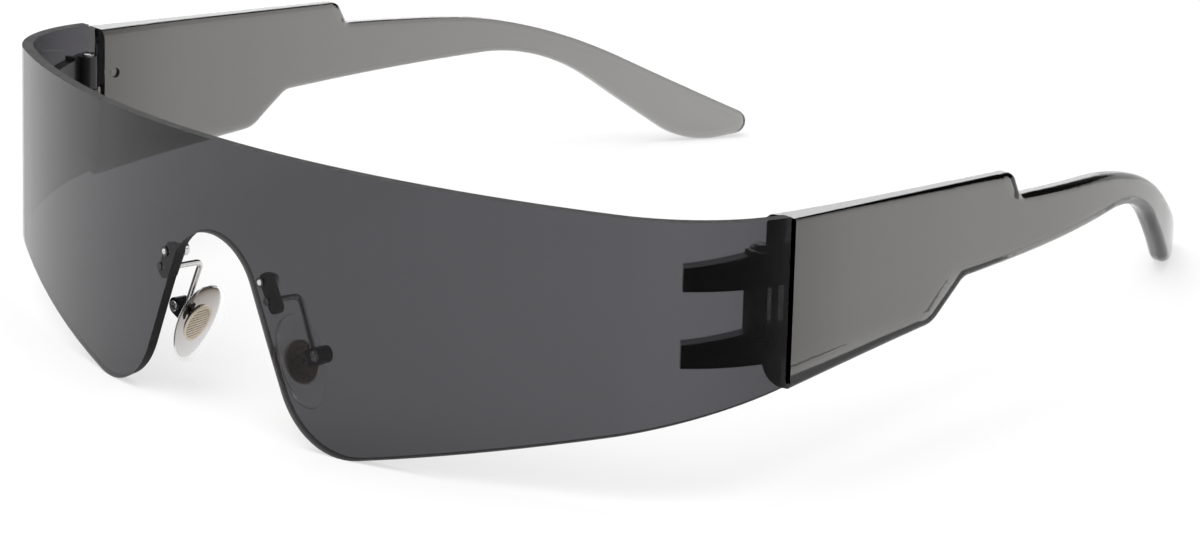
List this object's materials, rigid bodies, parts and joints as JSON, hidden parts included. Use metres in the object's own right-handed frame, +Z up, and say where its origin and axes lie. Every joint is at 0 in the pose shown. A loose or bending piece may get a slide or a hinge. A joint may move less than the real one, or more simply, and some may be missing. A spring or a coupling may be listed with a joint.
{
  "type": "shield sunglasses",
  "caption": "Rimless wraparound shield sunglasses with a dark tinted lens, folding translucent temples and rocking clear nose pads on bent wire arms.",
  "frame": {"origin": "on the table, under the middle of the box round the open glasses, which stand on the lens's two lower lobes and on the two ear tips", "axes": "+X to the wearer's left, +Y from the lens back to the ears, +Z up from the table"},
  "size_m": [0.148, 0.14, 0.038],
  "materials": {
    "lens_tint": "polished, grey see-through tint",
    "smoke_plastic": "polished, translucent smoke grey",
    "black_plastic": "polished black",
    "dark_metal": "black lacquer",
    "polished_metal": "polished",
    "screw_steel": "fine turned steel",
    "gold_metal": "pale gold, finely ribbed",
    "clear_silicone": "clear silicone"
  },
  "bodies": {
    "front": {"shield_lens": "lens_tint", "lens_fork_left": "black_plastic", "lens_fork_right": "black_plastic", "hinge_screw_left": "screw_steel", "hinge_screw_right": "screw_steel", "lens_bush_left": "black_plastic", "lens_bush_right": "black_plastic", "lens_screw_left": "screw_steel", "lens_screw_right": "screw_steel", "lens_nut_left": "polished_metal", "lens_nut_right": "polished_metal", "pad_plate_left": "dark_metal", "pad_plate_right": "dark_metal", "pad_wire_left": "polished_metal", "pad_wire_right": "polished_metal", "pad_box_left": "dark_metal", "pad_box_right": "dark_metal", "pad_screw_left": "screw_steel", "pad_screw_right": "screw_steel"},
    "temple_left": {"temple_left": "smoke_plastic"},
    "temple_right": {"temple_right": "smoke_plastic"},
    "pad_left": {"nose_pad_left": "clear_silicone", "pad_core_left": "gold_metal"},
    "pad_right": {"nose_pad_right": "clear_silicone", "pad_core_right": "gold_metal"}
  },
  "joints": [
    {"name": "left_temple_hinge", "type": "hinge", "parent": "front", "child": "temple_left", "pos_m": [0.0703, -0.03654, 0.03526], "axis": [0, 0.0865, 0.9962], "range_deg": [0, 87]},
    {"name": "right_temple_hinge", "type": "hinge", "parent": "front", "child": "temple_right", "pos_m": [-0.0703, -0.03654, 0.03526], "axis": [0, -0.0865, -0.9962], "range_deg": [0, 76]},
    {"name": "left_pad_rock", "type": "hinge", "parent": "front", "child": "pad_left", "pos_m": [0.01552, -0.06336, 0.01078], "axis": [0, 0.9962, -0.0865], "range_deg": [-8, 8]},
    {"name": "right_pad_rock", "type": "hinge", "parent": "front", "child": "pad_right", "pos_m": [-0.01552, -0.06336, 0.01078], "axis": [0, -0.9962, 0.0865], "range_deg": [-8, 8]}
  ]
}
